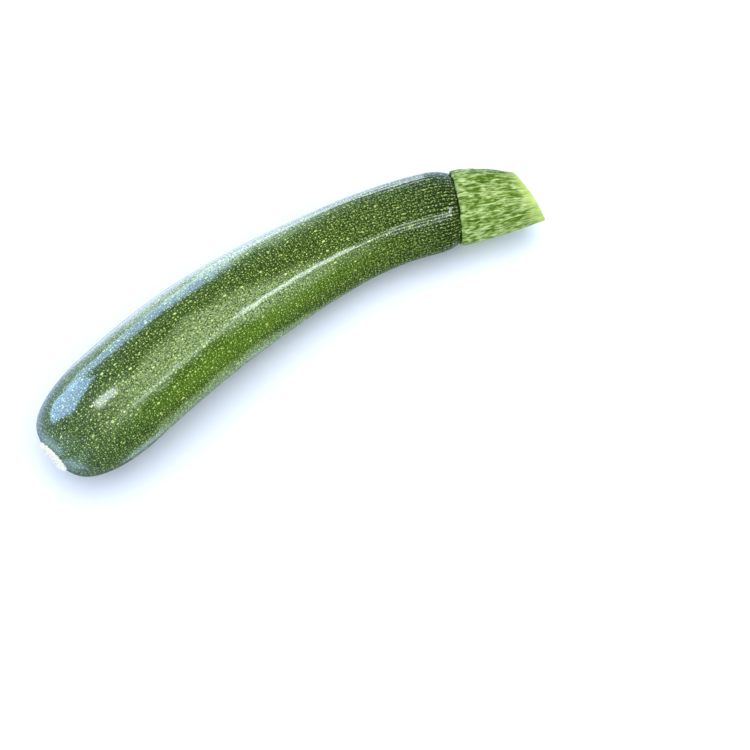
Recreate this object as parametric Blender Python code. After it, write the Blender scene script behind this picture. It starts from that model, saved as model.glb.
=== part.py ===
"""A courgette as picked, lying on its side: the ribbed fruit and the cut stub of its stalk.

Metres, +Z up. The fruit lies along X with its blossom end at -X and its stalk at +X. Both pieces are
turned straight, then bent in plan along a spine, so the courgette arches towards +Y and stays level.
It rests on a narrow flat under its thick part. The origin is on the surface it lies on, under the
middle of the object's box.
"""

import math

import bmesh
import bpy
from mathutils import Vector

# Fruit
FRUIT_LENGTH = 0.1810
THICK_RADIUS = 0.0203  # a quarter of the way along
NECK_RADIUS = 0.0155  # just before the stalk
TAPER_START = 0.0425  # distances from the blossom end
TAPER_END = 0.1675
BLOSSOM_ROUNDING = 0.0295  # length of the blunt end
BLOSSOM_POWER = 1.75  # of the blunt end's curve
BLOSSOM_BLUNTNESS = 0.27  # lower is blunter
SHOULDER_LENGTH = 0.012
SHOULDER_DROP = 0.14  # share of the radius lost over the shoulder
SEAT_RADIUS = 0.0124  # flat end that the stalk grows from
SEAT_FILLET = 0.0006

# The corky scar that the flower leaves: a low ring round a dished middle
SCAR_RADIUS = 0.0066
SCAR_HEIGHT = 0.0004  # of the ring
SCAR_DISH = 0.0004  # depth of the middle
SCAR_EDGE = 0.0005  # where the skin starts

# Five ribs, which wind a little and are bolder towards the stalk
RIB_COUNT = 5
RIB_PHASE = math.radians(35)  # at the blossom end, where one rib lies underneath
RIB_TWIST = math.radians(-4)  # over the fruit's length
RIB_HEIGHT = 0.020  # as a share of the radius
RIB_SHARPNESS = 0.004
RIB_START = 0.6  # share of their height at the blossom end

# Stalk
STALK_LENGTH = 0.0280  # along its middle
STALK_FOOT_RADIUS = 0.0140
STALK_CUT_RADIUS = 0.0083
STALK_TAPER = 0.043
STALK_FOOT_FILLET = 0.0008
STALK_GAP = 0.0003  # to the fruit
STALK_RIB_HEIGHT = 0.035
STALK_FURROW_COUNT = 15
STALK_FURROW_DEPTH = 0.012
CUT_SLANT = math.tan(math.radians(26))  # of the knife
CUT_SIDE = math.radians(-63)  # angle round the stalk at which it is cut shortest

# Spine in plan: the length and the turn of each of its spans
SPINE_START = (-0.1024, -0.0115)
SPINE_HEADING = math.radians(14.0)
SPINE_SPANS = (
    (0.0385, 0.0),
    (0.0925, math.radians(-14.3)),
    (0.0535, math.radians(-22.7)),
    (0.0390, 0.0),
)

# How it lies
PRESSED = 0.0006  # depth of the flat it rests on
NECK_LIFT = 0.0020  # how far the stalk's cut end is held off the surface
LIFT_START = 0.135

# Fineness
SIDES = 60
FRUIT_RINGS = 50
STALK_RINGS = 14


def clamp(value):
    return min(1.0, max(0.0, value))


def fall(share):
    """1 at share 0, easing down to 0 at share 1."""
    return 0.5 + 0.5 * math.cos(math.pi * clamp(share))


def taper(x):
    """The fruit's radius without its rounded ends."""
    return NECK_RADIUS + (THICK_RADIUS - NECK_RADIUS) * fall((x - TAPER_START) / (TAPER_END - TAPER_START))


def fruit_radius(x):
    blunt = (1 - (1 - clamp(x / BLOSSOM_ROUNDING)) ** BLOSSOM_POWER) ** BLOSSOM_BLUNTNESS
    to_end = clamp((FRUIT_LENGTH - x) / SHOULDER_LENGTH)
    return taper(x) * blunt * (1 - SHOULDER_DROP * (1 - to_end) ** 3)


def stalk_radius(x):
    """x is measured from the stalk's foot."""
    return STALK_CUT_RADIUS + (STALK_FOOT_RADIUS - STALK_CUT_RADIUS) * fall(x / STALK_TAPER)


def axis_height(x):
    """Height of the middle of the section, so that the underside lies on the surface."""
    lift = NECK_LIFT * clamp((x - LIFT_START) / (FRUIT_LENGTH + STALK_LENGTH - LIFT_START)) ** 2
    return taper(x) * (1 + RIB_HEIGHT + RIB_SHARPNESS) - PRESSED + lift


def rib(x, angle):
    """Relief round the fruit, as a share of its radius: a rounded pentagon with crisp corners."""
    share = clamp(x / FRUIT_LENGTH)
    turn = RIB_COUNT * (angle - RIB_PHASE - RIB_TWIST * share)
    height = RIB_START + (1 - RIB_START) * share
    return height * (RIB_HEIGHT * math.cos(turn) + RIB_SHARPNESS * math.cos(2 * turn))


def around(x, angle, radius):
    """A point of a section, with angle 0 at the top and growing towards -Y."""
    return Vector((x, -radius * math.sin(angle), axis_height(x) + radius * math.cos(angle)))


def fruit_outline():
    """Half the fruit's length section, from the middle of the scar to the middle of the stalk's seat."""
    scar = [
        (SCAR_DISH, 0.0),
        (SCAR_DISH * 0.7, SCAR_RADIUS * 0.45),
        (-SCAR_HEIGHT, SCAR_RADIUS * 0.78),
        (-SCAR_HEIGHT * 0.6, SCAR_RADIUS * 0.93),
    ]
    skin = []
    for i in range(FRUIT_RINGS + 1):
        x = SCAR_EDGE + (FRUIT_LENGTH - SCAR_EDGE) * (1 - fall(i / FRUIT_RINGS))
        skin.append((x, fruit_radius(x)))
    seat = [(FRUIT_LENGTH + SEAT_FILLET, SEAT_RADIUS), (FRUIT_LENGTH + SEAT_FILLET, 0.0)]
    return scar + skin + seat


def stalk_outline():
    """Half the stalk's length section, from the middle of its foot to the middle of its cut face."""
    foot = [(0.0, 0.0), (0.0, STALK_FOOT_RADIUS - STALK_FOOT_FILLET)]
    side = []
    for i in range(STALK_RINGS + 1):
        x = STALK_FOOT_FILLET + (STALK_LENGTH - STALK_FOOT_FILLET) * i / STALK_RINGS
        side.append((x, stalk_radius(x)))
    return foot + side + [(STALK_LENGTH, 0.0)]


def fruit_point(x, angle, radius):
    """Adds the ribs, which fade out at the scar, and presses the underside flat."""
    fade = clamp((radius - SCAR_RADIUS) / (NECK_RADIUS - SCAR_RADIUS))
    point = around(x, angle, radius * (1 + rib(x, angle) * fade))
    point.z = max(point.z, 0.0)
    return point


def stalk_point(x, angle, radius):
    """Adds the ridges and furrows, and slants the rings towards the knife cut."""
    ridges = STALK_RIB_HEIGHT * math.cos(RIB_COUNT * (angle - RIB_PHASE - RIB_TWIST))
    furrows = STALK_FURROW_DEPTH * math.cos(STALK_FURROW_COUNT * angle)
    radius *= 1 + ridges + furrows
    slant = CUT_SLANT * radius * math.cos(angle - CUT_SIDE) * (x / STALK_LENGTH) ** 2
    return around(FRUIT_LENGTH + SEAT_FILLET + STALK_GAP + x - slant, angle, radius)


def material(name, colour, roughness):
    made = bpy.data.materials.new(name)
    made.use_nodes = True
    shader = made.node_tree.nodes["Principled BSDF"]
    shader.inputs["Base Color"].default_value = (*colour, 1.0)
    shader.inputs["Roughness"].default_value = roughness
    shader.inputs["Metallic"].default_value = 0.0
    return made


def turned(name, outline, place, collection, finish):
    """Turns an outline of (x, radius) pairs about the X axis, then puts each point where place says."""
    shape = bmesh.new()
    points = [shape.verts.new((x, 0.0, radius)) for x, radius in outline]
    edges = [shape.edges.new(pair) for pair in zip(points, points[1:])]
    bmesh.ops.spin(shape, geom=points + edges, axis=(1, 0, 0), cent=(0, 0, 0), angle=math.tau, steps=SIDES)
    bmesh.ops.remove_doubles(shape, verts=shape.verts, dist=1e-6)
    for vertex in shape.verts:
        x, y, z = vertex.co
        vertex.co = place(x, math.atan2(-y, z), math.hypot(y, z))
    bmesh.ops.recalc_face_normals(shape, faces=shape.faces)
    mesh = bpy.data.meshes.new(name)
    shape.to_mesh(mesh)
    shape.free()
    mesh.shade_smooth()
    mesh.set_sharp_from_angle(angle=math.radians(40))
    mesh.materials.append(finish)
    made = bpy.data.objects.new(name, mesh)
    collection.objects.link(made)
    return made


def make_spine(collection):
    """The guide that bends the courgette in plan: a Bezier curve with a knot at each end of its spans."""
    knots = [Vector((*SPINE_START, 0.0))]
    handles = []
    heading = SPINE_HEADING
    for length, turn in SPINE_SPANS:
        start = knots[-1]
        forward = Vector((math.cos(heading), math.sin(heading), 0.0))
        heading += turn
        onward = Vector((math.cos(heading), math.sin(heading), 0.0))
        handle = length / 3
        chord = length
        if turn:
            handle = 4 / 3 * math.tan(turn / 4) * length / turn
            chord = 2 * math.sin(turn / 2) * length / turn
        end = start + (forward + onward).normalized() * chord
        handles += [start + forward * handle, end - onward * handle]
        knots.append(end)
    handles = [2 * knots[0] - handles[0], *handles, 2 * knots[-1] - handles[-1]]
    curve = bpy.data.curves.new("spine", "CURVE")
    curve.dimensions = "3D"
    curve.twist_mode = "Z_UP"
    curve.resolution_u = 64
    spline = curve.splines.new("BEZIER")
    spline.bezier_points.add(len(knots) - 1)
    for i, (knot, place) in enumerate(zip(spline.bezier_points, knots)):
        knot.handle_left_type = knot.handle_right_type = "FREE"
        knot.co = place
        knot.handle_left = handles[2 * i]
        knot.handle_right = handles[2 * i + 1]
    guide = bpy.data.objects.new("spine", curve)
    guide.hide_render = True
    guide.display_type = "WIRE"
    collection.objects.link(guide)
    return guide


def main():
    for old in list(bpy.data.objects):
        bpy.data.objects.remove(old)
    courgette = bpy.data.collections.new("courgette")
    guides = bpy.data.collections.new("guides")
    for made in (courgette, guides):
        bpy.context.scene.collection.children.link(made)
    skin = material("courgette_skin", (0.045, 0.105, 0.020), 0.35)
    green_stalk = material("courgette_stalk", (0.25, 0.42, 0.07), 0.55)
    fruit = turned("fruit", fruit_outline(), fruit_point, courgette, skin)
    stalk = turned("stalk", stalk_outline(), stalk_point, courgette, green_stalk)
    spine = make_spine(guides)
    for piece in (fruit, stalk):
        bend = piece.modifiers.new("bend", "CURVE")
        bend.object = spine
        bend.deform_axis = "POS_X"


main()
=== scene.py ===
# %% [markdown]
# # A courgette on a white table
# The CAD frame holds two solids at their real size: `fruit`, the ribbed body, and `stalk`, the cut stub
# that it hung from. This lesson gives them the looks of the real vegetable: a dark waxy rind full of pale
# speckles, the corky scar that the flower left, a fibrous green stalk and its pale cut. Everything is in
# metres and in the frame's own axes. The courgette lies along X on the surface z = 0, stalk at +X.

# %% Load the frame
import math

import bpy
import numpy as np
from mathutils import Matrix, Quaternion, Vector, noise


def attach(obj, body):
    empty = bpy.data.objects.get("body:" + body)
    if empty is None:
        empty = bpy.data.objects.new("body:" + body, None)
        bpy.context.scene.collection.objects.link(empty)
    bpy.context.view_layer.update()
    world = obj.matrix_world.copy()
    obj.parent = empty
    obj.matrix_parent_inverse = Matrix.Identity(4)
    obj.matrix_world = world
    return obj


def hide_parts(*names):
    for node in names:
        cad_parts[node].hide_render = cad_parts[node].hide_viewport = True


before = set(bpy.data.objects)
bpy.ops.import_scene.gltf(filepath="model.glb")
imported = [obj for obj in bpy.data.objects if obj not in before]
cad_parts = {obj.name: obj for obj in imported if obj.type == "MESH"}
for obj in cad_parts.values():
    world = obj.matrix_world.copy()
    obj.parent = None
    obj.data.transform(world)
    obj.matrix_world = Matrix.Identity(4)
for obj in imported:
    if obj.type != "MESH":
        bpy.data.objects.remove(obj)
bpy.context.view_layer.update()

MM = 0.001

# %% [markdown]
# ## Camera
# The picture looks down steeply across the courgette, so that the blossom end comes out at the lower
# left and the stalk at the upper right. A wide lens up close would swell the near end. A long lens keeps
# both ends at one scale, as in product photographs, so the camera stands far off with 90 mm.

# %% Camera
CAMERA_AZIMUTH = math.radians(-32.2)
CAMERA_ELEVATION = math.radians(65.0)
CAMERA_DISTANCE = 0.7047
CAMERA_AIM = Vector((0.0165, -0.0376, 0.0))
LENS = 90.0

# Directions as the picture shows them, along the table: to its right, and away from the viewer.
RIGHT = Vector((math.cos(CAMERA_AZIMUTH), math.sin(CAMERA_AZIMUTH), 0.0))
AWAY = Vector((-math.sin(CAMERA_AZIMUTH), math.cos(CAMERA_AZIMUTH), 0.0))
UP = Vector((0.0, 0.0, 1.0))

to_camera = -AWAY * math.cos(CAMERA_ELEVATION) + UP * math.sin(CAMERA_ELEVATION)
camera = bpy.data.objects.new("camera", bpy.data.cameras.new("camera"))
bpy.context.scene.collection.objects.link(camera)
camera.data.lens = LENS
camera.location = CAMERA_AIM + to_camera * CAMERA_DISTANCE
camera.rotation_mode = "QUATERNION"
camera.rotation_quaternion = (-to_camera).to_track_quat("-Z", "Y")
bpy.context.scene.camera = camera
print("camera at", [round(v, 3) for v in camera.location])

# %% [markdown]
# ## The form, as curves
# The solid was turned straight about X and then bent in plan, because a courgette grows as a straight
# tube that its own weight bends. The fine pieces are made the same way, from the same dimensions, so
# that they keep the solid's form. Two easing helpers come first. They work on whole arrays of numbers.

# %% Easing helpers
def clamp(value, low=0.0, high=1.0):
    return np.minimum(high, np.maximum(low, value))


def fall(share):
    """1 at share 0, easing down to 0 at share 1."""
    return 0.5 + 0.5 * np.cos(math.pi * clamp(share))


# %% The courgette's dimensions
FRUIT_LENGTH = 0.1810
THICK_RADIUS = 0.0203
NECK_RADIUS = 0.0155
TAPER_START = 0.0425
TAPER_END = 0.1675
BLOSSOM_ROUNDING = 0.0295
BLOSSOM_POWER = 1.75
BLOSSOM_BLUNTNESS = 0.27
SHOULDER_LENGTH = 0.012
SHOULDER_DROP = 0.14
SEAT_RADIUS = 0.0124
SEAT_FILLET = 0.0006
SCAR_RADIUS = 0.0066
SCAR_EDGE = 0.0005
RIB_COUNT = 5
RIB_PHASE = math.radians(35)
RIB_TWIST = math.radians(-4)
RIB_HEIGHT = 0.020
RIB_SHARPNESS = 0.004
RIB_START = 0.6
STALK_LENGTH = 0.0280
STALK_FOOT_RADIUS = 0.0140
STALK_CUT_RADIUS = 0.0083
STALK_TAPER = 0.043
STALK_GAP = 0.0003
STALK_RIB_HEIGHT = 0.035
STALK_FURROW_COUNT = 15
STALK_FURROW_DEPTH = 0.012
CUT_SLANT = math.tan(math.radians(26))
CUT_SIDE = math.radians(-63)
PRESSED = 0.0006
NECK_LIFT = 0.0020
LIFT_START = 0.135


def taper(x):
    """The fruit's radius without its rounded ends."""
    return NECK_RADIUS + (THICK_RADIUS - NECK_RADIUS) * fall((x - TAPER_START) / (TAPER_END - TAPER_START))


def fruit_radius(x):
    blunt = (1 - (1 - clamp(x / BLOSSOM_ROUNDING)) ** BLOSSOM_POWER) ** BLOSSOM_BLUNTNESS
    to_end = clamp((FRUIT_LENGTH - x) / SHOULDER_LENGTH)
    return taper(x) * blunt * (1 - SHOULDER_DROP * (1 - to_end) ** 3)


def stalk_radius(x):
    """x is measured from the stalk's foot."""
    return STALK_CUT_RADIUS + (STALK_FOOT_RADIUS - STALK_CUT_RADIUS) * fall(x / STALK_TAPER)


def axis_height(x):
    """Height of the middle of the section, so that the underside lies on the surface."""
    lift = NECK_LIFT * clamp((x - LIFT_START) / (FRUIT_LENGTH + STALK_LENGTH - LIFT_START)) ** 2
    return taper(x) * (1 + RIB_HEIGHT + RIB_SHARPNESS) - PRESSED + lift


print("fruit", FRUIT_LENGTH / MM, "mm long and", round(2 * THICK_RADIUS / MM, 1), "mm thick")

# %% [markdown]
# ## A tube by hand
# A turned body could be one outline spun about an axis. Here it starts as one ring of vertices, because
# extruding a ring and scaling it, again and again, as with the keys E and S, lets each ring lie exactly
# where the form needs it. The cage stays light, and a Subdivision Surface modifier makes the fine mesh.

# %% Tube tools
def wake(piece):
    """Makes a piece the only one selected, and the active one."""
    bpy.ops.object.select_all(action="DESELECT")
    piece.select_set(True)
    bpy.context.view_layer.objects.active = piece


def apply_modifier(piece, kind, **settings):
    wake(piece)
    modifier = piece.modifiers.new(kind.lower(), kind)
    for name, value in settings.items():
        setattr(modifier, name, value)
    bpy.ops.object.modifier_apply(modifier=modifier.name)


def ring_tube(name, sides, stations):
    """A closed tube about X through stations of (x, radius), with a fan of faces over each end."""
    bpy.ops.object.select_all(action="DESELECT")
    x, radius = stations[0]
    bpy.ops.mesh.primitive_circle_add(
        vertices=sides,
        radius=radius,
        fill_type="TRIFAN",
        location=(x, 0, 0),
        rotation=(0, math.pi / 2, 0),
    )
    bpy.ops.object.transform_apply(location=True, rotation=True, scale=True)
    tube = bpy.context.object
    tube.name = tube.data.name = name
    bpy.ops.object.mode_set(mode="EDIT")
    bpy.ops.mesh.select_mode(type="EDGE")
    bpy.ops.mesh.select_all(action="DESELECT")
    bpy.ops.mesh.select_non_manifold()
    for next_x, next_radius in stations[1:]:
        bpy.ops.mesh.extrude_edges_move(TRANSFORM_OT_translate={"value": (next_x - x, 0, 0)})
        share = next_radius / radius
        bpy.ops.transform.resize(value=(1, share, share), center_override=(next_x, 0, 0))
        x, radius = next_x, next_radius
    bpy.ops.mesh.edge_face_add()
    bpy.ops.mesh.poke()
    bpy.ops.mesh.select_all(action="SELECT")
    bpy.ops.mesh.normals_make_consistent(inside=False)
    bpy.ops.object.mode_set(mode="OBJECT")
    return tube


# %% [markdown]
# ## Relief tools
# What makes a skin look grown is unevenness at several scales. Sculpting it would do, but a formula is
# the same each time. These helpers read the points, lift them along their normals by a height, and keep
# a value on each point for the material to read later.

# %% Relief tools
def points(piece):
    flat = np.empty(len(piece.data.vertices) * 3)
    piece.data.vertices.foreach_get("co", flat)
    return flat.reshape(-1, 3)


def put(piece, places):
    piece.data.vertices.foreach_set("co", places.ravel())
    piece.data.update()


def raised(piece, places, height):
    """The places, moved along the surface's normals by height."""
    put(piece, places)
    normals = np.empty(len(places) * 3)
    piece.data.vertices.foreach_get("normal", normals)
    return places + normals.reshape(-1, 3) * height[:, None]


def remember(piece, name, values):
    """Keeps a number or a vector on each point."""
    vector = values.ndim == 2
    made = piece.data.attributes.new(name, "FLOAT_VECTOR" if vector else "FLOAT", "POINT")
    made.data.foreach_set("vector" if vector else "value", values.astype(np.float32).ravel())


def uneven(places, along, across, seed):
    """Smooth noise from -1 to 1, with grains along and across in mm."""
    cells = places / (np.array((along, across, across)) * MM) + seed
    return np.array([noise.noise(Vector(cell)) for cell in cells])


# %% [markdown]
# ## The spine
# The courgette bends in plan along a guide: a straight stretch, a slow bend, a quicker one and the
# straight neck. The guide is a Bezier curve, and a Curve modifier bends each finished piece along it.
# Each arc needs only a knot at each end, with handles as long as a round arc asks for.

# %% Spine
SPINE_START = (-0.1024, -0.0115)
SPINE_HEADING = math.radians(14.0)
SPINE_SPANS = (
    (0.0385, 0.0),
    (0.0925, math.radians(-14.3)),
    (0.0535, math.radians(-22.7)),
    (0.0390, 0.0),
)


def make_spine():
    knots = [Vector((*SPINE_START, 0.0))]
    handles = []
    heading = SPINE_HEADING
    for length, turn in SPINE_SPANS:
        start = knots[-1]
        forward = Vector((math.cos(heading), math.sin(heading), 0.0))
        heading += turn
        onward = Vector((math.cos(heading), math.sin(heading), 0.0))
        handle = length / 3
        chord = length
        if turn:
            handle = 4 / 3 * math.tan(turn / 4) * length / turn
            chord = 2 * math.sin(turn / 2) * length / turn
        end = start + (forward + onward).normalized() * chord
        handles += [start + forward * handle, end - onward * handle]
        knots.append(end)
    handles = [2 * knots[0] - handles[0], *handles, 2 * knots[-1] - handles[-1]]
    curve = bpy.data.curves.new("spine", "CURVE")
    curve.dimensions = "3D"
    curve.twist_mode = "Z_UP"
    curve.resolution_u = 64
    spline = curve.splines.new("BEZIER")
    spline.bezier_points.add(len(knots) - 1)
    for i, (knot, place) in enumerate(zip(spline.bezier_points, knots)):
        knot.handle_left_type = knot.handle_right_type = "FREE"
        knot.co = place
        knot.handle_left = handles[2 * i]
        knot.handle_right = handles[2 * i + 1]
    guide = bpy.data.objects.new("spine", curve)
    bpy.context.scene.collection.objects.link(guide)
    return guide


spine = make_spine()
print("spine", round(sum(length for length, turn in SPINE_SPANS) / MM, 1), "mm long")

# %% [markdown]
# ## The fruit's cage
# The rings are spaced by the distance along the skin, `along`, measured from the middle of the scar, and
# lie closer at both ends, where the outline turns fast. The scar's own rings come first: a dished middle
# and a low rim. The seat that the stalk grows from comes last.

# %% Fruit cage
SIDES = 80
SKIN_RINGS = 52
FINE = 4000

scar_rings = [(0.0003, 0.0020), (0.0000, 0.0040), (-0.0004, 0.0053), (-0.0003, 0.0061)]
outline_x = SCAR_EDGE + (FRUIT_LENGTH - SCAR_EDGE) * np.linspace(0, 1, FINE) ** 2
outline_r = fruit_radius(outline_x)
steps = np.hypot(np.diff(outline_x), np.diff(outline_r))
outline_along = outline_r[0] + np.concatenate([[0], np.cumsum(steps)])
share = np.linspace(0, 1, SKIN_RINGS)
ring_along = outline_along[0] + (outline_along[-1] - outline_along[0]) * (share + 1 - fall(share)) / 2
ring_x = np.interp(ring_along, outline_along, outline_x)
skin_rings = [(float(x), float(fruit_radius(x))) for x in ring_x]
seat_rings = [
    (FRUIT_LENGTH + 0.7 * SEAT_FILLET, SEAT_RADIUS + 0.4 * SEAT_FILLET),
    (FRUIT_LENGTH + SEAT_FILLET, SEAT_RADIUS - SEAT_FILLET),
    (FRUIT_LENGTH + SEAT_FILLET, SEAT_RADIUS / 2),
]
fruit = ring_tube("courgette_fruit", SIDES, scar_rings + skin_rings + seat_rings)
cage_faces = len(fruit.data.polygons)
apply_modifier(fruit, "SUBSURF", levels=2, render_levels=2)
print("fruit:", cage_faces, "faces in the cage,", len(fruit.data.polygons), "after subdivision")

# %% [markdown]
# ## Where a point is on the skin
# The relief and the speckles follow the skin, not space, so each point gets skin coordinates: `along`
# from the scar, and its angle round the fruit. `lay` holds them as a point on a straight tube of one
# radius. A pattern on `lay` shrinks round the fruit wherever the fruit is slim, so dots turn to dashes
# that point at the scar and line up along the neck, as they do on the real rind.

# %% Skin coordinates
LAY_RADIUS = 0.020

straight = points(fruit)
x = straight[:, 0]
radius = np.hypot(straight[:, 1], straight[:, 2])
angle = np.arctan2(-straight[:, 1], straight[:, 2])
along = np.interp(x + radius, outline_x + outline_r, outline_along)
along = np.where(x + radius < outline_x[0] + outline_r[0], radius, along)
along = np.where(x > FRUIT_LENGTH, outline_along[-1] + outline_r[-1] - radius, along)
lay = np.stack([along, LAY_RADIUS * np.sin(angle), LAY_RADIUS * np.cos(angle)], 1)
print("skin length from scar to stalk:", round(outline_along[-1] / MM, 1), "mm")

# %% [markdown]
# ## The ribs
# A courgette is a soft pentagon: five broad ribs with flatter sides between. Their swelling is the
# solid's own formula. On the real one each rib has a narrow crest too, which catches a thin line of
# light, so a low crest is laid on top of each rib. It wanders a little, as the photograph's line of light
# does, and fades towards the blossom.

# %% Ribs and crests
CREST_HEIGHT = 0.17  # mm
CREST_WIDTH = 2.5 * MM
CREST_START = 45 * MM
CREST_RISE = 60 * MM
CREST_ALONG = np.array([0, 55, 75, 95, 115, 135, 150, 160, 170, 180, 190]) * MM
CREST_SHIFT = np.radians([5, 4, 1, -1, 0, 2, 3, 1, -4, -10, -15])  # positive is towards the underside

share = clamp(x / FRUIT_LENGTH)
turn = RIB_COUNT * (angle - RIB_PHASE - RIB_TWIST * share)
height = RIB_START + (1 - RIB_START) * share
ribs = height * (RIB_HEIGHT * np.cos(turn) + RIB_SHARPNESS * np.cos(2 * turn))
ribs *= clamp((radius - SCAR_RADIUS) / (NECK_RADIUS - SCAR_RADIUS))

wander = np.interp(along, CREST_ALONG, CREST_SHIFT) + math.radians(0.7) * uneven(lay, 12, 60, 11.0)
off_crest = ((turn - RIB_COUNT * wander + math.pi) % math.tau - math.pi) / RIB_COUNT
crest = np.exp(-((radius * off_crest / CREST_WIDTH) ** 2))
crest *= 0.15 + 0.85 * (1 - fall((x - CREST_START) / CREST_RISE))
print("ribs:", RIB_COUNT, "with crests", CREST_HEIGHT, "mm high")

# %% [markdown]
# ## Fine relief on the skin
# Slow swells and small dimples break the highlights into the soft grain that wax on a rind shows. Fine
# furrows gather towards the stalk, because the skin is drawn together there, and short creases run in
# to the scar. The scar's rim is torn, where the dried flower broke off.

# %% Fine relief
FURROW_COUNT = 64
CREASE_COUNT = 30
CORK_RADIUS = 5.8 * MM

to_neck = 1 - fall((x - 0.115) / 0.060)
to_scar = fall((along - 0.0065) / 0.0110)
on_scar = fall((along - 0.0056) / 0.0016)
furrow_drift = 4.2 * uneven(lay, 30, 9, 3.0)
furrow = clamp(np.cos(FURROW_COUNT * angle + furrow_drift)) ** 2
crease = clamp(np.cos(CREASE_COUNT * angle + 2.0 * uneven(lay, 8, 12, 7.0))) ** 3

relief = CREST_HEIGHT * crest
relief += 0.22 * uneven(lay, 36, 15, 1.0)
relief += 0.05 * uneven(lay, 9, 5, 2.0)
relief += 0.025 * uneven(lay, 4.2, 2.4, 5.0)
relief -= 0.085 * to_neck * furrow
relief -= 0.10 * to_scar * (1 - on_scar) * crease
torn = 0.5 + 0.9 * uneven(lay, 1.8, 2.6, 9.0) + 0.5 * uneven(lay, 0.8, 1.1, 4.0)
relief += on_scar * (1 - fall((along - 0.0035) / 0.0015)) * torn
relief = np.where(x > FRUIT_LENGTH, 0, relief)
print("relief from", round(relief.min(), 2), "to", round(relief.max(), 2), "mm")

# %% [markdown]
# ## Painted sheen
# A soft sheen of light on the wax is painted into the rind's colour here, as a paler band along each
# rib: broad over the blossom half, lower on the flank further along, gone at the stalk. It could be
# painted by hand, but edges given as angles from the crest, at a few places along the fruit, are easier
# to set right. Noise frays them.

# %% Painted sheen
SHEEN_ALONG = np.array([10, 25, 45, 70, 95, 120, 150, 175]) * MM
SHEEN_UPPER = np.radians([-34, -38, -36, -33, -31, -17, -7, 0])
SHEEN_LOWER = np.radians([36, 28, 10, 12, 24, 27, 24, 14])
SHEEN_STRENGTH = [0.0, 0.12, 0.8, 1.0, 1.0, 0.9, 0.5, 0.0]
SHEEN_SOFT = math.radians(15)

from_crest = off_crest + math.radians(8) * uneven(lay, 9, 4, 21.0)
below_upper = 1 - fall((from_crest - np.interp(along, SHEEN_ALONG, SHEEN_UPPER)) / SHEEN_SOFT)
above_lower = 1 - fall((np.interp(along, SHEEN_ALONG, SHEEN_LOWER) - from_crest) / SHEEN_SOFT)
# Painted sheen: this band later pales the rind's colour where a soft sheen of light would lie.
painted_sheen = np.interp(along, SHEEN_ALONG, SHEEN_STRENGTH) * below_upper * above_lower
print("bloom covers", round(100 * float((painted_sheen > 0.5).mean())), "% of the points")

# %% [markdown]
# ## Dull wax
# Where the painted sheen is strong the wax mirrors little. In the picture the gloss is weak too on the
# crest of the rib that faces the viewer, near the blossom, and under the neck, where that may be no more
# than shadow. One value on the points says how dull the wax is, so that the rind can thin its gloss
# there. It steps back to clear wax along the line that the fruit rests on, out of sight.

# %% Dull wax
SHEEN_DULL_START = 38 * MM
DULL_END = 85 * MM
DULL_CREST_END = 40 * MM
DULL_CREST_WIDTH = math.radians(11)
DULL_UNDER_START = 80 * MM
DULL_UNDER_ANGLE = math.radians(82)

sheen_dulled_wax = painted_sheen * (1 - fall((along - SHEEN_DULL_START) / (12 * MM)))
dull_crest = np.exp(-((off_crest / DULL_CREST_WIDTH) ** 2)) * fall((along - DULL_CREST_END) / (15 * MM))
near_side = 1 - fall((angle + math.radians(5)) / math.radians(10))
dull = np.maximum(sheen_dulled_wax, dull_crest) * fall((along - DULL_END) / (15 * MM)) * near_side
dull_under = 1 - fall((angle - DULL_UNDER_ANGLE) / math.radians(14))
dull_under *= 1 - fall((along - DULL_UNDER_START) / (30 * MM))
dull = np.maximum(dull, dull_under)
print("dull wax covers", round(100 * float((dull > 0.5).mean())), "% of the points")

# %% [markdown]
# ## The bright flank
# The flank below that rib is a brighter and yellower green in the picture, which doesn't tell how much of
# that is rind and how much is light. The code mixes it into the rind's colour as a soft band, strongest in
# the middle of the length, kept on the points as the painted sheen is.

# %% Bright flank
FLANK_MIDDLE = np.radians([50, 50, 56, 62, 62, 62, 60, 58])
FLANK_STRENGTH = [0.0, 0.05, 0.7, 0.95, 0.95, 0.85, 0.5, 0.1]
FLANK_WIDTH = math.radians(17)

middle = np.interp(along, SHEEN_ALONG, FLANK_MIDDLE) + math.radians(5) * uneven(lay, 20, 6, 31.0)
flank = np.exp(-(((angle - middle) / FLANK_WIDTH) ** 2))
flank *= np.interp(along, SHEEN_ALONG, FLANK_STRENGTH)
print("bright flank covers", round(100 * float((flank > 0.5).mean())), "% of the points")

# %% [markdown]
# ## Laying the fruit down
# Ribs and relief go on while the tube is straight. Then each section is lifted so that its underside
# meets the table, what would sink in is pressed flat, and the spine bends the whole.

# %% Finish the fruit's shape
straight[:, 1:] *= (1 + ribs)[:, None]
straight = raised(fruit, straight, relief * MM)
straight[:, 2] = np.maximum(straight[:, 2] + axis_height(straight[:, 0]), 0.0)
put(fruit, straight)
remember(fruit, "lay", lay)
remember(fruit, "furrow_drift", furrow_drift)
remember(fruit, "painted_sheen", painted_sheen)
remember(fruit, "dull", dull)
remember(fruit, "flank", flank)
cork = along < CORK_RADIUS
apply_modifier(fruit, "CURVE", object=spine, deform_axis="POS_X")
print("fruit's lowest point:", round(points(fruit)[:, 2].min() / MM, 3), "mm")

# %% [markdown]
# ## The stalk's cage
# The stub flares out at its foot, narrows towards the cut, and was cut across with a knife. Its rings
# start in the middle of the foot, run up the side, turn sharply over the cut's rim and close over the
# cut face, where they are close together so that the rim stays crisp.

# %% Stalk cage
STALK_RINGS = 22
FOOT_X = FRUIT_LENGTH + SEAT_FILLET + STALK_GAP

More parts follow.
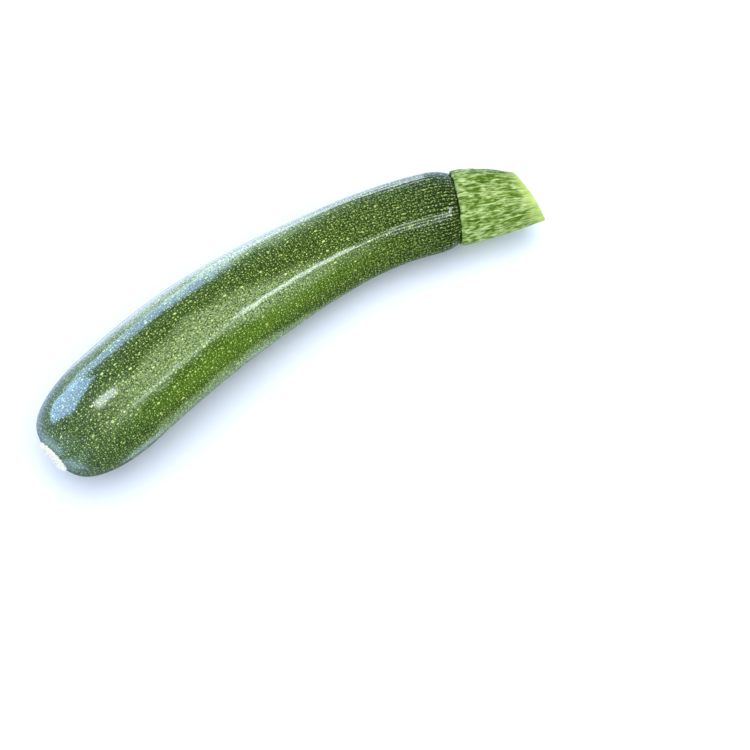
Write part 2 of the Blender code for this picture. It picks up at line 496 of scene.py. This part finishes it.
cut_radius = float(stalk_radius(STALK_LENGTH))
foot_rings = [(0.0, 0.006), (0.0, 0.0118), (-0.0003, 0.0131), (-0.0006, 0.0138)]
side_x = [STALK_LENGTH * (0.03 + 0.955 * i / STALK_RINGS) for i in range(STALK_RINGS + 1)]
side_rings = [(x, float(stalk_radius(x))) for x in side_x]
rim_rings = [(STALK_LENGTH * 0.998, cut_radius), (STALK_LENGTH, cut_radius * 0.98)]
face_rings = [(STALK_LENGTH, cut_radius * share) for share in (0.94, 0.84, 0.68, 0.50, 0.34, 0.18)]
stalk = ring_tube("courgette_stalk", SIDES, foot_rings + side_rings + rim_rings + face_rings)
apply_modifier(stalk, "SUBSURF", levels=2, render_levels=2)
print("stalk:", len(stalk.data.polygons), "faces after subdivision")

# %% [markdown]
# ## The stalk's relief
# Five ridges carry on from the fruit's ribs, with finer furrows between. The surface is a mass of raised
# fibre bundles, broken and knobbly near the foot and running together towards the cut, so its noise is
# stretched along the stalk and sharpened into ridges. The cut face is planed flat by the knife.

# %% Stalk relief
STALK_LAY_RADIUS = 0.012

straight = points(stalk)
x = straight[:, 0].copy()
radius = np.hypot(straight[:, 1], straight[:, 2])
angle = np.arctan2(-straight[:, 1], straight[:, 2])
on_cut = x > STALK_LENGTH * 0.9992
on_foot = (x < 0.0002) & (radius < 0.0125)
along = np.where(on_cut, STALK_LENGTH + cut_radius - radius, x)
lay = np.stack([along, STALK_LAY_RADIUS * np.sin(angle), STALK_LAY_RADIUS * np.cos(angle)], 1)
section = np.stack([x * 0, straight[:, 1] / cut_radius, straight[:, 2] / cut_radius], 1)

ridges = STALK_RIB_HEIGHT * np.cos(RIB_COUNT * (angle - RIB_PHASE - RIB_TWIST))
ridges += STALK_FURROW_DEPTH * np.cos(STALK_FURROW_COUNT * angle)
near_foot = fall(x / 0.014)
bundles = 1 - 2.4 * np.abs(uneven(lay, 7, 1.7, 2.0))
strands = 1 - 2.4 * np.abs(uneven(lay, 3.6, 0.85, 4.0))
knobs = uneven(lay, 1.7, 1.1, 6.0)
swell = 0.55 * bundles + 0.35 * strands + (0.25 + 0.5 * near_foot) * knobs
smooth_end = 0.25 + 0.75 * clamp((STALK_LENGTH - x) / 0.006)
relief = np.where(on_cut | on_foot, 0, 0.36 * swell * smooth_end)
print("stalk relief from", round(relief.min(), 2), "to", round(relief.max(), 2), "mm")

# %% Finish the stalk's shape
straight[:, 1:] *= (1 + ridges)[:, None]
straight = raised(stalk, straight, relief * MM)
reach = np.hypot(straight[:, 1], straight[:, 2])
slant = CUT_SLANT * reach * np.cos(angle - CUT_SIDE) * (x / STALK_LENGTH) ** 2
straight[:, 0] += FOOT_X - slant
straight[:, 2] += axis_height(straight[:, 0])
put(stalk, straight)
remember(stalk, "lay", lay)
remember(stalk, "section", section)
remember(stalk, "swell", clamp(0.5 + 0.5 * swell))
apply_modifier(stalk, "CURVE", object=spine, deform_axis="POS_X")
bpy.data.objects.remove(spine)
print("stalk's lowest point:", round(points(stalk)[:, 2].min() / MM, 3), "mm")

# %% [markdown]
# ## Material helpers
# Colours are picked as sRGB hex values, and Blender's shaders want linear light, so one helper turns
# them. Another adds a node with its settings and what feeds it. Pattern sizes are given in mm.

# %% Material helpers
def linear(colour):
    """The linear RGBA of an sRGB hex colour."""
    parts = [int(colour[i:i + 2], 16) / 255 for i in (1, 3, 5)]
    return [p / 12.92 if p <= 0.04045 else ((p + 0.055) / 1.055) ** 2.4 for p in parts] + [1.0]


def add(tree, kind, inputs=None, **settings):
    """Adds a node. Each input takes a value, a socket, or a node, whose first output in use feeds it."""
    made = tree.nodes.new("ShaderNode" + kind)
    for name, value in settings.items():
        setattr(made, name, value)
    for name, value in (inputs or {}).items():
        if isinstance(value, bpy.types.Node):
            value = next(socket for socket in value.outputs if socket.enabled)
        if isinstance(value, bpy.types.NodeSocket):
            tree.links.new(value, made.inputs[name])
        else:
            made.inputs[name].default_value = value
    return made


def new_material(name):
    made = bpy.data.materials.new(name)
    made.use_nodes = True
    return made, made.node_tree, made.node_tree.nodes["Principled BSDF"]


def speckles(tree, flat, spacing, size, longer=1.3):
    """A mask of scattered dots, sizes in mm. flat is a place on the skin laid flat. The dots keep apart
    like the real ones, and each has its own size and strength."""
    cell = add(tree, "VectorMath", {0: flat, 1: (1 / longer, 1.0, 1.0)}, operation="MULTIPLY")
    dot = {"Vector": cell, "Scale": 1 / (spacing * MM), "Randomness": 0.7}
    dot = add(tree, "TexVoronoi", dot, voronoi_dimensions="2D")
    chance = add(tree, "SeparateColor", {0: dot.outputs["Color"]})
    reach = {0: chance.outputs[0], 1: 0.3 * size / spacing, 2: 0.35 * size / spacing}
    reach = add(tree, "Math", reach, operation="MULTIPLY_ADD")
    inside = add(tree, "Math", {0: reach, 1: 0.14 / spacing}, operation="SUBTRACT")
    edge = {"Value": dot.outputs["Distance"], "From Min": reach, "From Max": inside}
    strength = add(tree, "MapRange", {"Value": chance.outputs[1], "To Min": 0.4})
    mask = add(tree, "MapRange", edge)
    return add(tree, "Math", {0: mask, 1: strength}, operation="MULTIPLY")


# %% [markdown]
# ## Rind
# The rind is a green skin under a thin coat of wax that the plant grows. The eye sees deep green,
# clouded and finely mottled, with a crowd of pale dots (the breathing pores), and over it a clear gloss
# with sharp edges. So the colour is built from noise and three layers of dots, and the wax is a coat
# with a low roughness over a rougher skin. The furrows near the stalk are darkened with painted shade,
# and the dots keep between them, in rows. An image would give one fruit's dots once; formulas give them
# at any sharpness.

# %% Waxy rind
rind, tree, shader = new_material("waxy_courgette_rind")
place = add(tree, "Attribute", attribute_name="lay").outputs["Vector"]
drift = add(tree, "Attribute", attribute_name="furrow_drift").outputs["Fac"]
# The painted sheen band, which pales the rind where a soft sheen of light would lie.
sheen_mask = add(tree, "Attribute", attribute_name="painted_sheen").outputs["Fac"]
dull = add(tree, "Attribute", attribute_name="dull").outputs["Fac"]
side = add(tree, "Attribute", attribute_name="flank").outputs["Fac"]
split = add(tree, "SeparateXYZ", {0: place})
round_it = add(tree, "Math", {0: split.outputs[1], 1: split.outputs[2]}, operation="ARCTAN2")
girth = add(tree, "Math", {0: round_it, 1: LAY_RADIUS}, operation="MULTIPLY")
flat = add(tree, "CombineXYZ", {0: split.outputs[0], 1: girth})

shake = add(tree, "TexNoise", {"Vector": place, "Scale": 1 / (0.9 * MM), "Detail": 1.0})
shake = add(tree, "VectorMath", {0: shake.outputs["Color"], 1: (0.5, 0.5, 0.5)}, operation="SUBTRACT")
shake = add(tree, "VectorMath", {0: shake, "Scale": 0.5 * MM}, operation="SCALE")
shaken = add(tree, "VectorMath", {0: flat, 1: shake}, operation="ADD")

phase = add(tree, "Math", {0: round_it, 1: float(FURROW_COUNT), 2: drift}, operation="MULTIPLY_ADD")
wave = add(tree, "Math", {0: phase}, operation="COSINE")
near_neck = add(tree, "MapRange", {"Value": split.outputs[0], "From Min": 0.130, "From Max": 0.188})
trough = add(tree, "MapRange", {"Value": wave, "From Min": -0.1, "From Max": 0.8})
trough = add(tree, "Math", {0: trough, 1: near_neck}, operation="MULTIPLY")
trough = add(tree, "Math", {0: trough, 1: near_neck}, operation="MULTIPLY")
keep = add(tree, "Math", {0: 1.0, 1: trough}, operation="SUBTRACT")

# %% [markdown]
# The green comes in layers: clouds a few millimetres wide, the bright flank, a painted bluish reflection
# at the blossom end, a painted sheen as fine pale grain along each rib, a mottle drawn out along the
# fruit, and a darkening towards the neck with painted shade in its furrows.

# %% Rind: clouded and mottled green
cloud = add(tree, "TexNoise", {"Vector": place, "Scale": 1 / (7 * MM), "Detail": 3.0, "Roughness": 0.6})
cloud = add(tree, "MapRange", {"Value": cloud, "From Min": 0.35, "From Max": 0.65})
green = {0: cloud, 6: linear("#243A0A"), 7: linear("#2C460C")}
green = add(tree, "Mix", green, data_type="RGBA")
green = add(tree, "Mix", {0: side, 6: green, 7: linear("#4A6C0A")}, data_type="RGBA")
# Painted reflection: the rind turns bluer towards the blossom end, standing in for the bluish haze the wax
# mirrors there.
painted_blue_haze = {"Value": split.outputs[0], "From Min": 0.055, "From Max": 0.018, "To Max": 0.7}
painted_blue_haze = add(tree, "MapRange", painted_blue_haze)
green = add(tree, "Mix", {0: painted_blue_haze, 6: green, 7: linear("#30483C")}, data_type="RGBA")
# Painted sheen: fine pale grain mixed into the green along each rib, standing in for the sheen on the wax.
sheen_grain = add(tree, "TexNoise", {"Vector": place, "Scale": 1 / (0.55 * MM), "Detail": 2.0})
sheen_grain = add(tree, "MapRange", {"Value": sheen_grain, "From Min": 0.36, "From Max": 0.64})
sheen_grain = add(tree, "Math", {0: sheen_mask, 1: sheen_grain}, operation="MULTIPLY")
green = add(tree, "Mix", {0: sheen_grain, 6: green, 7: linear("#98AA84")}, data_type="RGBA")
fleck_grain = (1 / (1.3 * MM), 1 / (0.6 * MM), 1 / (0.6 * MM))
fleck = add(tree, "VectorMath", {0: place, 1: fleck_grain}, operation="MULTIPLY")
fleck = add(tree, "TexNoise", {"Vector": fleck, "Scale": 1.0, "Detail": 2.0, "Roughness": 0.65})
fleck = add(tree, "MapRange", {"Value": fleck, "From Min": 0.46, "From Max": 0.68, "To Max": 0.42})
green = add(tree, "Mix", {0: fleck, 6: green, 7: linear("#6F9030")}, data_type="RGBA")
# Darker towards the neck, and darker still in its furrows, which is painted shade in the grooves.
neck_darkening_and_furrow_shade = add(tree, "Math", {0: near_neck, 1: 0.35}, operation="MULTIPLY")
neck_darkening_and_furrow_shade = add(tree, "Math", {0: trough, 1: 0.5, 2: neck_darkening_and_furrow_shade}, operation="MULTIPLY_ADD")
green = add(tree, "Mix", {0: neck_darkening_and_furrow_shade, 6: green, 7: linear("#121E08")}, data_type="RGBA")

# %% Rind: dots
small = speckles(tree, shaken, 0.62, 0.34)
small = add(tree, "Math", {0: small, 1: keep}, operation="MULTIPLY")
colour = add(tree, "Mix", {0: small, 6: green, 7: linear("#B4CE68")}, data_type="RGBA")
middle = speckles(tree, shaken, 1.25, 0.50)
middle = add(tree, "Math", {0: middle, 1: keep}, operation="MULTIPLY")
colour = add(tree, "Mix", {0: middle, 6: colour, 7: linear("#D0E486")}, data_type="RGBA")
large = speckles(tree, shaken, 5.5, 0.75, 1.6)
large = add(tree, "Math", {0: large, 1: keep}, operation="MULTIPLY")
colour = add(tree, "Mix", {0: large, 6: colour, 7: linear("#CFE08C")}, data_type="RGBA")

# %% Rind: rows of dashes between the furrows
ROW_STEP = 1.9 * MM
row_along = add(tree, "Math", {0: split.outputs[0], 1: 1 / ROW_STEP}, operation="MULTIPLY")
row_number = add(tree, "Math", {0: phase, 1: 1 / math.tau}, operation="MULTIPLY")
row = add(tree, "CombineXYZ", {0: row_along, 1: row_number})
row = add(tree, "TexVoronoi", {"Vector": row, "Scale": 1.0}, voronoi_dimensions="2D")
dash = add(tree, "MapRange", {"Value": row, "From Min": 0.24, "From Max": 0.12, "To Max": 0.7})
dash = add(tree, "Math", {0: dash, 1: near_neck}, operation="MULTIPLY")
dash = add(tree, "Math", {0: dash, 1: keep}, operation="MULTIPLY")
colour = add(tree, "Mix", {0: dash, 6: colour, 7: linear("#A8C468")}, data_type="RGBA")
print("rind so far:", len(tree.nodes), "nodes")

# %% [markdown]
# The rim of the scar is part of this skin: pale cork breaks out of the green in a torn edge.

# %% Rind: the torn edge of the scar
torn = add(tree, "TexNoise", {"Vector": place, "Scale": 1 / (1.5 * MM), "Detail": 3.0})
edge = add(tree, "Math", {0: torn, 1: 1.6 * MM, 2: split.outputs[0]}, operation="MULTIPLY_ADD")
edge = add(tree, "MapRange", {"Value": edge, "From Min": 7.6 * MM, "From Max": 7.2 * MM})
colour = add(tree, "Mix", {0: edge, 6: colour, 7: linear("#F0EED8")}, data_type="RGBA")
tree.links.new(colour.outputs[2], shader.inputs["Base Color"])

# %% [markdown]
# The wax is the coat, clear and smooth, and thinner where it is dull. The dots stand up a little and a
# fine grain runs over everything, which breaks the edges of the highlights.

# %% Rind: gloss and grain
shader.inputs["IOR"].default_value = 1.45
shader.inputs["Specular IOR Level"].default_value = 0.15
shader.inputs["Coat Roughness"].default_value = 0.08
rub = add(tree, "TexNoise", {"Vector": place, "Scale": 1 / (5 * MM), "Detail": 2.0})
rub = add(tree, "MapRange", {"Value": rub, "To Min": 0.36, "To Max": 0.52})
tree.links.new(rub.outputs[0], shader.inputs["Roughness"])
coat = add(tree, "MapRange", {"Value": dull, "To Min": 1.0, "To Max": 0.15})
tree.links.new(coat.outputs[0], shader.inputs["Coat Weight"])
grain = add(tree, "TexNoise", {"Vector": place, "Scale": 1 / (0.5 * MM), "Detail": 2.0})
rise = add(tree, "Math", {0: middle, 1: 0.6, 2: grain}, operation="MULTIPLY_ADD")
bump = add(tree, "Bump", {"Height": rise, "Strength": 0.5, "Distance": 0.06 * MM})
tree.links.new(bump.outputs[0], shader.inputs["Normal"])
wax = add(tree, "Bump", {"Height": rise, "Strength": 0.5, "Distance": 0.03 * MM})
tree.links.new(wax.outputs[0], shader.inputs["Coat Normal"])
fruit.data.materials.append(rind)
print("rind:", len(tree.nodes), "nodes")

# %% [markdown]
# ## Cork
# Where the flower stood the skin has healed as cork: dry, cream, with tan cracks and rings and no wax.
# It is part of the same skin, so it is a second material on the scar's own faces.

# %% Healed cork
cork_skin, tree, shader = new_material("healed_cork_scar")
place = add(tree, "Attribute", attribute_name="lay").outputs["Vector"]
ring_grain = (1 / (0.8 * MM), 1 / (4 * MM), 1 / (4 * MM))
rings = add(tree, "VectorMath", {0: place, 1: ring_grain}, operation="MULTIPLY")
rings = add(tree, "TexNoise", {"Vector": rings, "Scale": 1.0, "Detail": 4.0, "Roughness": 0.65})
tan = add(tree, "MapRange", {"Value": rings, "From Min": 0.48, "From Max": 0.68, "To Max": 0.6})
colour = add(tree, "Mix", {0: tan, 6: linear("#F4F3E6"), 7: linear("#DCD08C")}, data_type="RGBA")
tree.links.new(colour.outputs[2], shader.inputs["Base Color"])
shader.inputs["Roughness"].default_value = 0.85
bump = add(tree, "Bump", {"Height": rings, "Strength": 0.8, "Distance": 0.15 * MM})
tree.links.new(bump.outputs[0], shader.inputs["Normal"])
fruit.data.materials.append(cork_skin)
for face in fruit.data.polygons:
    if all(cork[corner] for corner in face.vertices):
        face.material_index = 1
print("cork faces:", sum(face.material_index == 1 for face in fruit.data.polygons))

# %% [markdown]
# ## Stalk
# The stalk is green flesh with pale fibre bundles raised in it, and a dry, slightly shiny skin without
# wax. Raised places are whitish green and the furrows a vivid deep green, so the colour follows the
# relief that the mesh remembers, with finer streaks from noise that is stretched along the stalk. Near
# the cut the skin pales.

# %% Fibrous stalk
fibre, tree, shader = new_material("ribbed_green_stalk")
place = add(tree, "Attribute", attribute_name="lay").outputs["Vector"]
swollen = add(tree, "Attribute", attribute_name="swell").outputs["Fac"]
split = add(tree, "SeparateXYZ", {0: place})
streak_grain = (1 / (3.0 * MM), 1 / (0.6 * MM), 1 / (0.6 * MM))
streak = add(tree, "VectorMath", {0: place, 1: streak_grain}, operation="MULTIPLY")
streak = add(tree, "TexNoise", {"Vector": streak, "Scale": 1.0, "Detail": 3.0, "Roughness": 0.65})
patch = add(tree, "TexNoise", {"Vector": place, "Scale": 1 / (4 * MM), "Detail": 1.0})
level = add(tree, "Math", {0: swollen, 1: 0.36, 2: streak}, operation="MULTIPLY_ADD")
level = add(tree, "Math", {0: patch, 1: 0.2, 2: level}, operation="MULTIPLY_ADD")
pale = add(tree, "MapRange", {"Value": level, "From Min": 0.79, "From Max": 1.05})
deep = add(tree, "MapRange", {"Value": level, "From Min": 0.82, "From Max": 0.62})
colour = add(tree, "Mix", {0: pale, 6: linear("#62821A"), 7: linear("#C0D094")}, data_type="RGBA")
colour = add(tree, "Mix", {0: deep, 6: colour, 7: linear("#446400")}, data_type="RGBA")
to_cut = {"Value": split.outputs[0], "From Min": 0.0225, "From Max": 0.0280, "To Max": 0.85}
to_cut = add(tree, "MapRange", to_cut)
colour = add(tree, "Mix", {0: to_cut, 6: colour, 7: linear("#C0D480")}, data_type="RGBA")
tree.links.new(colour.outputs[2], shader.inputs["Base Color"])
shader.inputs["Roughness"].default_value = 0.48
shader.inputs["Specular IOR Level"].default_value = 0.2
bump = add(tree, "Bump", {"Height": streak, "Strength": 0.7, "Distance": 0.25 * MM})
tree.links.new(bump.outputs[0], shader.inputs["Normal"])
stalk.data.materials.append(fibre)
print("stalk skin:", len(tree.nodes), "nodes")

# %% [markdown]
# ## Cut flesh
# The knife left a smooth moist face: a green rind round the outside, pale flesh inside it with a ring of
# darker dots, which are the cut ends of the vessels, and a loose whitish middle.

# %% Cut flesh
flesh, tree, shader = new_material("knife_cut_stalk_flesh")
place = add(tree, "Attribute", attribute_name="section").outputs["Vector"]
out = add(tree, "VectorMath", {0: place}, operation="LENGTH").outputs["Value"]
soft = add(tree, "TexNoise", {"Vector": place, "Scale": 5.0, "Detail": 4.0, "Roughness": 0.7})
wobble = add(tree, "Math", {0: soft, 1: 0.12, 2: out}, operation="MULTIPLY_ADD")
middle = add(tree, "MapRange", {"Value": wobble, "From Min": 0.30, "From Max": 0.62})
colour = add(tree, "Mix", {0: middle, 6: linear("#B8C690"), 7: linear("#94AE5E")}, data_type="RGBA")
skin = add(tree, "MapRange", {"Value": wobble, "From Min": 0.93, "From Max": 1.04})
colour = add(tree, "Mix", {0: skin, 6: colour, 7: linear("#5F842C")}, data_type="RGBA")
vessels = add(tree, "TexVoronoi", {"Vector": place, "Scale": 4.2})
vessel = add(tree, "MapRange", {"Value": vessels, "From Min": 0.26, "From Max": 0.14})
inner = add(tree, "MapRange", {"Value": out, "From Min": 0.50, "From Max": 0.62})
outer = add(tree, "MapRange", {"Value": out, "From Min": 0.86, "From Max": 0.76})
vessel = add(tree, "Math", {0: vessel, 1: inner}, operation="MULTIPLY")
vessel = add(tree, "Math", {0: vessel, 1: outer}, operation="MULTIPLY")
colour = add(tree, "Mix", {0: vessel, 6: colour, 7: linear("#5A7A2C")}, data_type="RGBA")
tree.links.new(colour.outputs[2], shader.inputs["Base Color"])
shader.inputs["Roughness"].default_value = 0.35
bump = add(tree, "Bump", {"Height": soft, "Strength": 0.5, "Distance": 0.2 * MM})
tree.links.new(bump.outputs[0], shader.inputs["Normal"])
stalk.data.materials.append(flesh)
for face in stalk.data.polygons:
    if all(on_cut[corner] for corner in face.vertices):
        face.material_index = 1

# %% [markdown]
# ## Onto the frame
# Each piece rides on the one body and stands for its CAD node, which is hidden.

# %% Ride and replace
for piece, node, slot in ((fruit, "fruit", "skin"), (stalk, "stalk", "stalk")):
    wake(piece)
    bpy.ops.object.shade_smooth()
    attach(piece, "root")
    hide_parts(node)
print("pieces:", fruit.name, "and", stalk.name)

# %% [markdown]
# ## Table
# The courgette lies on a wide matt white table that the light makes pure white, but for a soft shadow. A
# faint blue in the card shows in that shadow alone, as by daylight. The table's mirror image would grey
# the wax all along the underside, so it is kept out of glossy rays, and the room's own light stands in
# for it there.

# %% Table
bpy.ops.object.select_all(action="DESELECT")
bpy.ops.mesh.primitive_plane_add(size=8.0, location=(0, 0, 0))
table = bpy.context.object
table.name = "white_table"
card, tree, shader = new_material("matt_white_card")
shader.inputs["Base Color"].default_value = linear("#ECF1FE")
shader.inputs["Roughness"].default_value = 0.95
shader.inputs["Specular IOR Level"].default_value = 0.1
table.data.materials.append(card)
table.visible_glossy = False

# %% [markdown]
# ## Light
# A white studio. Two lamps do the lighting, a ceiling and a broad panel at the right, and are not seen
# in the wax. The others are seen there and light nothing else, so each highlight can be set by itself:
# a window and its sill at the left, a backdrop and its sweep along the far rim, a lantern overhead, a
# tube that draws the thin line on the rib with its tail at the neck, and three dim sheets for the rims
# below. Brightness is that of the lamp's face, white paper = 1.

# %% Lamps
LAMP_DISTANCE = 1.2


def towards(azimuth, elevation):
    """A direction from its angles: 0 is the picture's right, 90 away from the viewer, 180 its left."""
    azimuth, elevation = math.radians(azimuth), math.radians(elevation)
    level = RIGHT * math.cos(azimuth) + AWAY * math.sin(azimuth)
    return level * math.cos(elevation) + UP * math.sin(elevation)


def softbox(name, azimuth, elevation, wide, high, brightness, colour="#FFFFFF", turn=0, mirrored=True):
    """A panel that fills the angles wide and high, turned about its own axis. It is either mirrored in
    the wax or lights the scene."""
    way = towards(azimuth, elevation)
    lamp = bpy.data.objects.new(name, bpy.data.lights.new(name, "AREA"))
    lamp.data.shape = "RECTANGLE"
    lamp.data.size = 2 * LAMP_DISTANCE * math.tan(math.radians(wide) / 2)
    lamp.data.size_y = 2 * LAMP_DISTANCE * math.tan(math.radians(high) / 2)
    lamp.data.energy = brightness * lamp.data.size * lamp.data.size_y * math.pi
    lamp.data.color = linear(colour)[:3]
    lamp.location = way * LAMP_DISTANCE
    lamp.rotation_mode = "QUATERNION"
    lamp.rotation_quaternion = way.to_track_quat("Z", "Y") @ Quaternion((0, 0, 1), math.radians(turn))
    lamp.visible_diffuse = not mirrored
    lamp.visible_glossy = mirrored
    bpy.context.scene.collection.objects.link(lamp)
    return lamp


softbox("ceiling", 150, 87, 96, 84, 1.95, mirrored=False)
softbox("panel", -32, 26, 60, 40, 2.0, "#FFFCF4", mirrored=False)
softbox("window", 162, 36, 36, 43, 12, "#A8C6FF", turn=14)
softbox("sill", 125.5, 26.5, 36, 20, 8.5, "#B0CAFF")
softbox("backdrop", 102, 5, 20, 20, 4.2, "#DCE4FF")
softbox("low backdrop", 110, -2, 28, 42, 1.05, "#DCE4FF")
softbox("sweep", 109, -14, 34, 66, 0.88, "#E4E8FA")
softbox("lantern", 191, 86.5, 15.5, 12, 13, "#E8F0FF", turn=-56)
softbox("tube", -23.5, 37.5, 27, 7, 13, "#E8F0FF", turn=45)
softbox("tail", -48, 34, 24, 16, 7, "#F0F6FF")
softbox("skirting", -135, -30, 60, 40, 2.2, "#B4D4F8")
softbox("apron", -16, -66, 30, 16, 2.4, "#B8CCF4")
softbox("mist", -114, 14, 66, 54, 1.4, "#C4DCF4")

# %% [markdown]
# The room itself is bright at the level of the table and dims overhead and towards the ground straight
# below. To the right and below the horizon it is dark, which keeps the green of the near flank deep.

# %% Room
world = bpy.data.worlds.new("white_room")
bpy.context.scene.world = world
world.use_nodes = True
tree = world.node_tree
way = add(tree, "TexCoord").outputs["Generated"]
height = add(tree, "SeparateXYZ", {0: way}).outputs[2]
glow = {"Value": height, "From Min": 0.0, "From Max": 0.7, "To Min": 1.5, "To Max": 0.15}
glow = add(tree, "MapRange", glow)
pit = add(tree, "MapRange", {"Value": height, "From Min": -0.94, "From Max": -0.70, "To Min": 0.3})
glow = add(tree, "Math", {0: glow, 1: pit}, operation="MULTIPLY")
dim = add(tree, "VectorMath", {0: way, 1: towards(-32, -22)}, operation="DOT_PRODUCT").outputs["Value"]
dim = add(tree, "MapRange", {"Value": dim, "From Min": 0.58, "From Max": 0.80, "To Min": 1.0, "To Max": 0.05})
glow = add(tree, "Math", {0: glow, 1: dim}, operation="MULTIPLY")
tree.links.new(glow.outputs[0], tree.nodes["Background"].inputs["Strength"])
tree.nodes["Background"].inputs["Color"].default_value = linear("#C4D8FF")

view = bpy.context.scene.view_settings
view.view_transform = "Standard"
view.gamma = 0.85
